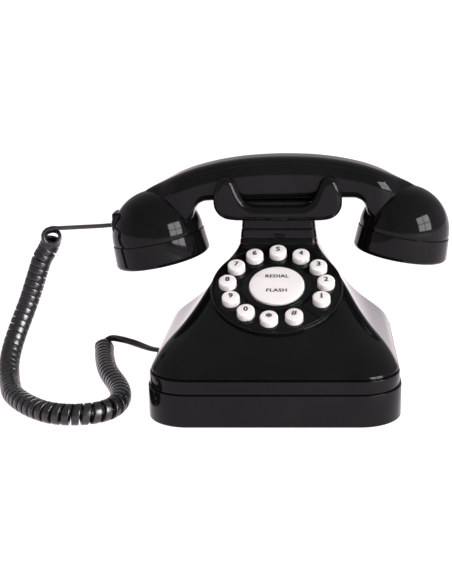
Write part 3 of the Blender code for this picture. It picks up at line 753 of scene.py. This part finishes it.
def make_tray():
    rings = [at_height(base_outline(8 * MM), TRAY_BOTTOM)]
    rings += rounded_wall(TRAY_BOTTOM, TRAY_TOP, 0, 0.9 * MM, 0.35 * MM)
    rings += [at_height(base_outline(2.6 * MM), TRAY_TOP),
              at_height(base_outline(2.6 * MM), 3.2 * MM)]
    tray = new_piece("base_tray_fine", skin_rings(rings), BLACK)
    for side in (-1, 1):
        for x, y in (FRONT_POST, BACK_POST):
            spot = Matrix.Translation((side * x, y, 0))
            join(tray, turned(((4.5 * MM, 2 * MM), (4.5 * MM, 30 * MM)), 40), spot)
            cut(tray, turned(((3.6 * MM, 0), (3.6 * MM, 8 * MM)), 40), spot)
            cut(tray, turned(((1.9 * MM, 0), (1.9 * MM, 31 * MM)), 24), spot)
        for end in (-1, 1):
            cut(tray, turned(((6.3 * MM, 0), (6.3 * MM, FOOT_TOP + GAP)), 64),
                Matrix.Translation((side * FOOT_AT[0], end * FOOT_AT[1], 0)))
    width, height = SOCKET_HALF[0] + GAP, SOCKET_HALF[1] + GAP
    for reach, place in (((5 * MM, width, height), CORD_SOCKET),
                         ((width, 5 * MM, height), LINE_SOCKET)):
        cut(tray, box_between(place - Vector(reach), place + Vector(reach)))
    smooth(tray, 32)
    return tray


def neck_grooves(z):
    """How far the neck's three moulded lines cut in at one height."""
    depth = 0.0
    for height, deep, wide in ((103.9, 0.45, 0.45), (97.1, 0.35, 0.4), (93.4, 0.3, 0.5)):
        depth += deep * MM * math.exp(-((z / MM - height) / wide) ** 2)
    return depth


def shell_heights():
    heights = list(np.arange(32.2, 36, 0.25)) + list(np.arange(36, 92, 0.8))
    heights += list(np.arange(92, 105.6, 0.2)) + [106.5, 107.5, 108.5, 109.5, 110.4, 110.9]
    return [height * MM for height in heights]


def make_shell():
    rings = rounded_wall(SKIRT_BOTTOM, SKIRT_TOP, 1.2 * MM, 0.3 * MM, 0.5 * MM)
    rings += [at_height(base_outline(3.2 * MM), SKIRT_TOP),
              at_height(base_outline(3.2 * MM), GROOVE_TOP),
              at_height(shell_outline(GROOVE_TOP, 0.3 * MM), GROOVE_TOP),
              at_height(shell_outline(GROOVE_TOP), GROOVE_TOP + 0.3 * MM)]
    for z in shell_heights():
        rings.append(at_height(shell_outline(z, neck_grooves(z)), z))
    middle = Vector((0, HANDSET_Y))
    small = [middle + (point - middle).normalized() * 3.6 * MM for point in shell_outline(NECK_TOP)]
    rings += [at_height(small, NECK_TOP), at_height(small, NECK_TOP - 2.6 * MM)]
    for z in (110.9, 98, 93, 87, 80, 70, 60, 51, 44, 38):
        rings.append(at_height(shell_outline(z * MM, 2.6 * MM), (z - 2.6) * MM))
    rings += [at_height(base_outline(5 * MM), 29 * MM),
              at_height(base_outline(4 * MM), SKIRT_BOTTOM)]
    shell = new_piece("upper_shell_fine", skin_rings(rings, close=True), BLACK)
    press_dimple(shell)
    cut(shell, turned(((DRUM_INNER + 0.8 * MM, -16 * MM), (DRUM_INNER + 0.8 * MM, 4.8 * MM)), 160),
        DIAL)
    smooth(shell, 32)
    drum = new_piece("drum", turned(drum_profile(), 240, close=True), BLACK, DIAL)
    cut_notch(drum)
    return merge("upper_shell_fine", [shell, drum])


def press_dimple(shell):
    """The small oval dent on the front of the neck."""
    for vert in shell.data.vertices:
        x, z = vert.co.x / (4.2 * MM), (vert.co.z - 98.9 * MM) / (1.7 * MM)
        reach = x * x + z * z
        if reach < 1 and vert.co.y < FRONT_Y + 110 * MM:
            vert.co.y += 0.8 * MM * (1 - reach) ** 0.6


def arc_profile(radius, height, corner_radius, start, end, steps):
    """Profile points of a rounded edge about (radius, height)."""
    points = []
    for i in range(steps + 1):
        angle = math.radians(start + (end - start) * i / steps)
        points.append((radius + corner_radius * math.cos(angle),
                       height + corner_radius * math.sin(angle)))
    return points


def drum_profile():
    profile = [(DRUM_INNER, -10 * MM), (DRUM_RADIUS, -10 * MM)]
    profile += arc_profile(DRUM_RADIUS - 0.7 * MM, DRUM_TOP - 0.7 * MM, 0.7 * MM, 0, 90, 6)
    profile += arc_profile(DRUM_INNER + 0.3 * MM, DRUM_TOP - 0.3 * MM, 0.3 * MM, 90, 180, 3)
    return profile


def cut_notch(drum):
    """The nick in the drum's rim where a finger stop would stand."""
    matrix = DIAL @ Matrix.Rotation(STOP_ANGLE, 4, "Z")
    cut(drum, box_between((DRUM_INNER - 1 * MM, -0.5 * MM, DRUM_TOP - 1.2 * MM),
                          (DRUM_RADIUS + 1 * MM, 0.5 * MM, DRUM_TOP + 1 * MM)), matrix)
    smooth(drum, 32)


# ---------------------------------------------------------------- dial

def key_places():
    places = []
    for k, name in enumerate(("5", "4", "3", "2", "1")):
        places.append((name, math.radians(90) - KEY_STEP * k))
    for k, name in enumerate(("6", "7", "8", "9", "0", "star", "hash")):
        places.append((name, math.radians(90) + KEY_STEP * (k + 1)))
    return [(name, KEY_CIRCLE * math.cos(a), KEY_CIRCLE * math.sin(a)) for name, a in places]


def make_dial_plate():
    top, outer = DRUM_TOP, DRUM_INNER - GAP
    profile = [(CENTRE_HOLE, -1 * MM), (outer, -1 * MM)]
    profile += arc_profile(outer - 0.5 * MM, top - 0.5 * MM, 0.5 * MM, 0, 90, 4)
    profile += [(24.4 * MM, top), (24.2 * MM, top - 0.45 * MM), (23.7 * MM, top - 0.45 * MM),
                (23.5 * MM, top - 0.1 * MM), (CENTRE_HOLE, top - 0.1 * MM)]
    plate = new_piece("dial_plate_fine", turned(profile, 180, close=True), BLACK)
    for _, x, y in key_places():
        hole = turned(((KEY_HOLE, -3 * MM), (KEY_HOLE, top - 0.3 * MM),
                       (KEY_HOLE + 0.3 * MM, top + GAP)), 48)
        cut(plate, hole, Matrix.Translation((x, y, 0)))
    groove = box_between((24.2 * MM, -0.45 * MM, top - 0.5 * MM),
                         (outer + 1 * MM, 0.45 * MM, top + 1 * MM))
    cut(plate, groove, Matrix.Rotation(STOP_ANGLE, 4, "Z"))
    plate.data.transform(DIAL)
    smooth(plate, 32)
    return plate


def make_centre_ring():
    low, high = DRUM_TOP + GAP, DRUM_TOP + 1.1 * MM
    profile = [(CENTRE_HOLE, low), (RING_RADIUS, low)]
    profile += arc_profile(RING_RADIUS - 0.3 * MM, low + 0.3 * MM, 0.3 * MM, 0, 90, 3)
    profile += [(21.6 * MM, low + 0.3 * MM + 0.3 * MM)]
    profile += arc_profile(20.7 * MM, high - 0.5 * MM, 0.5 * MM, 30, 90, 4)
    profile += arc_profile(CENTRE_HOLE + 0.4 * MM, high - 0.4 * MM, 0.4 * MM, 90, 180, 4)
    return new_piece("dial_centre_ring_fine", turned(profile, 180, close=True), BLACK, DIAL)


def disc_profile(radius, bottom, top, edge, dome):
    """A round button's profile with a rounded edge and a faintly domed face."""
    profile = [(radius, bottom)]
    profile += arc_profile(radius - edge, top - dome - edge, edge, 0, 80, 7)
    inner = radius - edge
    for share in (0.8, 0.6, 0.4, 0.2, 0.04):
        profile.append((inner * share, top - dome * share * share))
    return profile


def make_key(name, x, y):
    profile = [(7.2 * MM, -2.8 * MM), (7.2 * MM, -1.4 * MM), (KEY_RADIUS, -1.3 * MM)]
    profile += disc_profile(KEY_RADIUS, -1.2 * MM, KEY_TOP, 1.0 * MM, 0.12 * MM)
    spot = DIAL @ Matrix.Translation((x, y, 0))
    key = new_piece("key_" + name + "_fine", turned(profile, 64), WHITE, spot)
    label, width, height = {"star": ("*", 4.2, 4.2), "hash": ("#", 3.7, 4.3),
                            "1": ("1", 1.2, 4.3)}.get(name, (name, 3.0, 4.3))
    place = spot @ Matrix.Translation((0, 0.8 * MM, KEY_TOP))
    mark = lettering(label, height * MM, width * MM, 0.24 * MM, place)
    if name == "1":
        join(mark, box_between((-0.9 * MM, -2.15 * MM, -0.06 * MM), (1.1 * MM, -1.65 * MM, 0.06 * MM)),
             place)
    return merge("key_" + name + "_fine", [key, mark])


def lettering(text, height, width, weight, matrix):
    """Plain printed lettering as a thin raised mesh, thickened by weight, most in upright strokes."""
    data = bpy.data.curves.new("mark", "FONT")
    data.body = text
    data.size = height / CAP_SHARE
    data.extrude = 0.06 * MM
    data.resolution_u = 2
    data.space_character = 1.12
    obj = bpy.data.objects.new("mark", data)
    bpy.context.scene.collection.objects.link(obj)
    bpy.context.view_layer.update()
    mesh = bpy.data.meshes.new_from_object(obj.evaluated_get(bpy.context.evaluated_depsgraph_get()))
    bpy.data.objects.remove(obj, do_unlink=True)
    glyphs = bmesh.new()
    glyphs.from_mesh(mesh)
    bmesh.ops.remove_doubles(glyphs, verts=glyphs.verts, dist=0.0005 * MM)
    made = new_piece("mark", glyphs.copy(), INK, Matrix.Translation((-weight, -weight * 0.4, 0)))
    for across, along in ((1, -0.4), (-1, 0.4), (1, 0.4)):
        join(made, glyphs.copy(), Matrix.Translation((across * weight, along * weight, 0)))
    glyphs.free()
    xs = [vert.co.x for vert in made.data.vertices]
    ys = [vert.co.y for vert in made.data.vertices]
    fit = Matrix.Diagonal((width / (max(xs) - min(xs)), height / (max(ys) - min(ys)), 1, 1))
    middle = Matrix.Translation((-(min(xs) + max(xs)) / 2, -(min(ys) + max(ys)) / 2, 0))
    made.data.transform(matrix @ fit @ middle)
    made.data.materials.clear()
    made.data.materials.append(INK)
    return made


def make_button():
    profile = [(20 * MM, -3.7 * MM), (20 * MM, -2.6 * MM), (BUTTON_RADIUS, -2.5 * MM)]
    profile += disc_profile(BUTTON_RADIUS, -2.4 * MM, BUTTON_TOP, 0.7 * MM, 0.25 * MM)
    button = new_piece("redial_flash_fine", turned(profile, 128), WHITE, DIAL)
    upper = lettering("REDIAL", 3.0 * MM, 15.5 * MM, 0.17 * MM,
                      DIAL @ Matrix.Translation((0, 8.4 * MM, BUTTON_TOP - 0.06 * MM)))
    lower = lettering("FLASH", 3.0 * MM, 13.6 * MM, 0.17 * MM,
                      DIAL @ Matrix.Translation((0, -5.4 * MM, BUTTON_TOP - 0.03 * MM)))
    return merge("redial_flash_fine", [button, upper, lower])


def make_dial():
    plate = make_dial_plate()
    carry(plate, "base", "gloss_black", "dial_plate")
    carry(make_centre_ring(), "base", "gloss_black", "dial_centre_ring")
    for name, x, y in key_places():
        carry(make_key(name, x, y), "key_" + name + "_body", "white_plastic", "key_" + name)
    carry(make_button(), "rocker", "white_plastic", "redial_flash_button")


def carry(piece, body, slot, *nodes):
    """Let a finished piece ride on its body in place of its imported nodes."""
    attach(piece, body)
    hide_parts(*nodes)


# ---------------------------------------------------------------- cradle

PRONG_HALF = (
    (0, 120.9), (14, 120.9), (18.5, 121.7), (22, 123.8), (24.6, 127.2), (26.8, 131.8),
    (28.6, 136.2), (31.2, 139.4), (35, 140.6), (38.6, 139.2), (41.2, 135.4), (42.8, 130),
    (43.3, 124.5), (42.6, 119.6), (40, 115.4), (35.8, 112.6), (30, 111.5), (22, 111.3),
    (0, 111.3),
)


def prong_outline(count):
    """Evenly spaced points round the fork's closed outline, smooth across its ends."""
    overlap, steps = 3, 40
    half = [Vector((x * MM, z * MM)) for x, z in PRONG_HALF]
    whole = half + [Vector((-p.x, p.y)) for p in reversed(half[1:-1])]
    whole = whole[-overlap:] + whole + whole[:overlap]
    dense = catmull([Vector((p.x, p.y, 0)) for p in whole], len(whole) * steps)
    first = overlap * steps
    return even_loop(dense[first:first + (len(whole) - 2 * overlap) * steps], count)


def even_loop(points, count):
    array = np.array([(p.x, p.y) for p in points] + [(points[0].x, points[0].y)])
    steps = np.linalg.norm(np.diff(array, axis=0), axis=1)
    along = np.concatenate([[0], np.cumsum(steps)])
    wanted = np.linspace(0, along[-1], count, endpoint=False)
    return np.stack([np.interp(wanted, along, array[:, k]) for k in range(2)], 1)


def inward_normals(loop):
    ahead, behind = np.roll(loop, -1, 0), np.roll(loop, 1, 0)
    tangent = ahead - behind
    tangent /= np.linalg.norm(tangent, axis=1)[:, None]
    area = 0.5 * np.sum(loop[:, 0] * ahead[:, 1] - ahead[:, 0] * loop[:, 1])
    normal = np.stack([-tangent[:, 1], tangent[:, 0]], 1)
    return normal if area > 0 else -normal


def prong_plate(near, outer_round, inner_round, side):
    """One fork of the cradle: rounded outside, a small round inside."""
    loop = prong_outline(420)
    normals = inward_normals(loop)
    rings = []
    for i in range(5):
        angle = math.radians(90) * i / 4
        inset, depth = inner_round * (1 - math.sin(angle)), inner_round * (1 - math.cos(angle))
        rings.append((loop + normals * inset, near + side * depth))
    for i in range(13):
        angle = math.radians(90) * i / 12
        inset = outer_round * (1 - math.cos(angle))
        depth = PRONG_THICK - outer_round * (1 - math.sin(angle))
        rings.append((loop + normals * inset, near + side * depth))
    return skin_rings([[(p[0], y, p[1]) for p in points] for points, y in rings])


def make_cradle():
    pieces = []
    for side in (-1, 1):
        near = HANDSET_Y + side * PRONG_INNER_Y
        pieces.append(new_piece("prongs", prong_plate(near, 4.6 * MM, 1.0 * MM, side), BLACK))
    saddle = new_piece("saddle", rounded_box((-25 * MM, HANDSET_Y - 22 * MM, CRADLE_BOTTOM),
                                             (25 * MM, HANDSET_Y + 22 * MM, SADDLE_TOP), 0.6 * MM),
                       BLACK)
    rest = new_piece("rest", rounded_box((-REST_HALF, HANDSET_Y - 19 * MM, SADDLE_TOP - 2 * MM),
                                         (REST_HALF, HANDSET_Y + 19 * MM, REST_TOP), 1.2 * MM), BLACK)
    well = ((-10.4 * MM, HANDSET_Y - 5.4 * MM, CRADLE_BOTTOM - 1 * MM),
            (10.4 * MM, HANDSET_Y + 5.4 * MM, REST_TOP + 5 * MM))
    for piece in (saddle, rest):
        cut(piece, box_between(*well))
        pieces.append(piece)
    carry(merge("cradle_fine", pieces), "base", "gloss_black", "cradle")
    bar = new_piece("plunger_bar", rounded_box((-10 * MM, HANDSET_Y - 5 * MM, 115 * MM),
                                               (10 * MM, HANDSET_Y + 5 * MM, REST_TOP), 1 * MM), BLACK)
    stem = new_piece("plunger_stem", turned(((3 * MM, 88 * MM), (3 * MM, 116 * MM)), 32), BLACK,
                     Matrix.Translation((0, HANDSET_Y, 0)))
    carry(merge("hook_plunger_fine", [bar, stem]), "plunger", "gloss_black", "hook_plunger")


# ---------------------------------------------------------------- handset

def handle_section(x, inset, arc_steps):
    """Rounded section of the handle in Y and Z at one distance from the middle."""
    away = abs(x) / MM
    top = faired(HANDLE_STATIONS, away, 1, 4) * MM - inset
    under = hermite(HANDLE_STATIONS, away, 2) * MM + inset
    half = faired(HANDLE_STATIONS, away, 3, 3) * MM - inset
    corners = [(-half, under), (half, under), (half, top), (-half, top)]
    lower = min(7 * MM - inset / 2, 0.96 * half)
    upper = min(12 * MM - inset, 0.96 * half)
    radii = [lower, lower, upper, upper]
    ring = []
    for i in range(4):
        arc = fillet(corners[i - 1], corners[i], corners[(i + 1) % 4], radii[i], arc_steps)
        ring += arc
        following = corners[(i + 1) % 4]
        span = Vector(following) - Vector(corners[i])
        for k in range(1, 6):
            straight = span.length - radii[i] - radii[(i + 1) % 4]
            ring.append(arc[-1] + span.normalized() * straight * k / 6)
    return [(x, HANDSET_Y + point.x, point.y) for point in ring]


def handle_places(reach):
    places = list(np.arange(0, 50, 2.0)) + list(np.arange(50, 66, 0.25))
    places += list(np.arange(66, reach, 1.0))
    places.append(reach)
    places = [place * MM for place in places]
    return [-place for place in reversed(places[1:])] + places


def handle_solid(inset, reach):
    return skin_rings([handle_section(x, inset, 14) for x in handle_places(reach)])


def cup_matrix(side):
    place = Matrix.Translation((side * CUP_X, HANDSET_Y, CUP_Z))
    return place @ Matrix.Rotation(side * CUP_TILT, 4, "Y")


def cup_profile(inset):
    seam = DOME_RADIUS - inset
    cap = CAP_RADIUS - inset
    bottom = -CAP_HEIGHT + inset
    profile = arc_profile(cap - 3.2 * MM, bottom + 3.2 * MM, 3.2 * MM, -90, 0, 10)
    if inset == 0:
        profile += [(seam + 0.35 * MM, -1.0 * MM), (seam + 0.1 * MM, -0.8 * MM),
                    (seam - 1.0 * MM, -0.8 * MM), (seam - 1.0 * MM, 0.1 * MM),
                    (seam - 0.15 * MM, 0.15 * MM)]
    for i in range(1, 41):
        angle = math.radians(89.6) * i / 40
        profile.append((seam * math.cos(angle), 0.1 * MM + seam * math.sin(angle)))
    return profile


def make_handset():
    body = new_piece("handset_body", handle_solid(0, HANDLE_END), BLACK)
    for side in (-1, 1):
        join(body, turned(cup_profile(0), 160), cup_matrix(side))
    block = rounded_box((-115.2 * MM, HANDSET_Y - 12.5 * MM, 102.5 * MM),
                        (-100 * MM, HANDSET_Y + 3.5 * MM, 116.5 * MM), 1.5 * MM)
    join(body, block)
    hollow = new_piece("handset_hollow", handle_solid(HANDSET_WALL, HOLLOW_END), None)
    for side in (-1, 1):
        join(hollow, turned(cup_profile(HANDSET_WALL), 64), cup_matrix(side))
    boolean(body, hollow, "DIFFERENCE")
    for side in (-1, 1):
        cut(body, turned(((GRILLE_RADIUS + GAP, -CAP_HEIGHT - 3 * MM),
                          (GRILLE_RADIUS + GAP, -CAP_HEIGHT + 5 * MM)), 96), cup_matrix(side))
        spot = Matrix.Translation((side * 62 * MM, HANDSET_Y + 21.7 * MM, 124 * MM))
        spot = spot @ Matrix.Rotation(math.radians(-90), 4, "X")
        cut(body, turned(((3.3 * MM, -1.3 * MM), (3.3 * MM, 4 * MM)), 40), spot)
    cut(body, box_between((-117 * MM, HANDSET_Y - 8.4 * MM, 103.7 * MM),
                          (-104 * MM, HANDSET_Y - 0.6 * MM, 110.9 * MM)))
    front = body.copy()
    front.data = body.data.copy()
    bpy.context.scene.collection.objects.link(front)
    far = 200 * MM
    plane = HANDSET_Y - PARTING
    keep_inside(front, box_between((-far, -far, 0), (far, plane - GAP / 2, far)))
    keep_inside(body, box_between((-far, plane + GAP / 2, 0), (far, far, far)))
    for piece, name in ((front, "handset_front_shell"), (body, "handset_back_shell")):
        piece.name = name + "_fine"
        piece.data.transform(HANDSET_REST)
        smooth(piece, 30)
        carry(piece, "handset", "gloss_black", name)


def main():
    finish_cad_nodes()
    make_camera()
    make_stage()
    make_cord()
    carry(make_tray(), "base", "gloss_black", "base_tray")
    carry(make_shell(), "base", "gloss_black", "upper_shell")
    make_dial()
    make_cradle()
    make_handset()


main()
